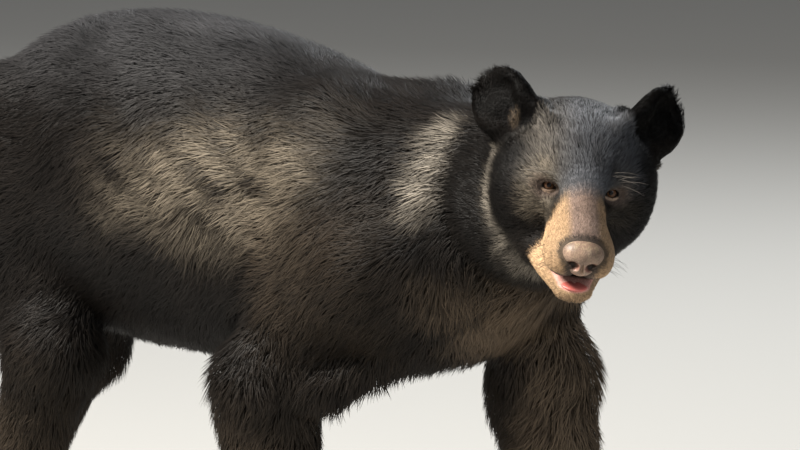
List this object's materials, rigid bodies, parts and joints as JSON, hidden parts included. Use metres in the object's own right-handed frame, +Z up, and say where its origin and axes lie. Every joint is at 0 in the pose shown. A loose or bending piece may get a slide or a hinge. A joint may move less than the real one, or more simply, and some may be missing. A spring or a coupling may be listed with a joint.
{
  "type": "black bear model",
  "caption": "Life-size still model of a black bear in mid stride, with its head turned to look back to its right and its lips just parted.",
  "frame": {"origin": "on the floor, under the middle of the bear's bounding box", "axes": "+X along the trunk towards the chest, +Y towards the bear's left side, +Z up"},
  "size_m": [1.5422, 0.4606, 0.8581],
  "materials": {
    "fur": "deep glossy black fur",
    "nose_leather": "moist leathery skin",
    "tongue_flesh": "moist flesh",
    "claw_horn": "smooth horn",
    "eye_glass": "polished, wet look"
  },
  "bodies": {
    "root": {"loin": "fur", "chest": "fur", "neck": "fur", "tail": "fur", "head": "fur", "lower_jaw": "fur", "nose": "nose_leather", "tongue": "tongue_flesh", "ear_left": "fur", "ear_right": "fur", "eye_left": "eye_glass", "eye_right": "eye_glass", "fore_left_upper": "fur", "fore_left_lower": "fur", "fore_left_paw": "fur", "fore_right_upper": "fur", "fore_right_lower": "fur", "fore_right_paw": "fur", "hind_left_upper": "fur", "hind_left_lower": "fur", "hind_left_paw": "fur", "hind_right_upper": "fur", "hind_right_lower": "fur", "hind_right_paw": "fur", "fore_left_claw_1": "claw_horn", "fore_left_claw_2": "claw_horn", "fore_left_claw_3": "claw_horn", "fore_left_claw_4": "claw_horn", "fore_left_claw_5": "claw_horn", "fore_right_claw_1": "claw_horn", "fore_right_claw_2": "claw_horn", "fore_right_claw_3": "claw_horn", "fore_right_claw_4": "claw_horn", "fore_right_claw_5": "claw_horn", "hind_left_claw_1": "claw_horn", "hind_left_claw_2": "claw_horn", "hind_left_claw_3": "claw_horn", "hind_left_claw_4": "claw_horn", "hind_left_claw_5": "claw_horn", "hind_right_claw_1": "claw_horn", "hind_right_claw_2": "claw_horn", "hind_right_claw_3": "claw_horn", "hind_right_claw_4": "claw_horn", "hind_right_claw_5": "claw_horn"}
  },
  "joints": []
}
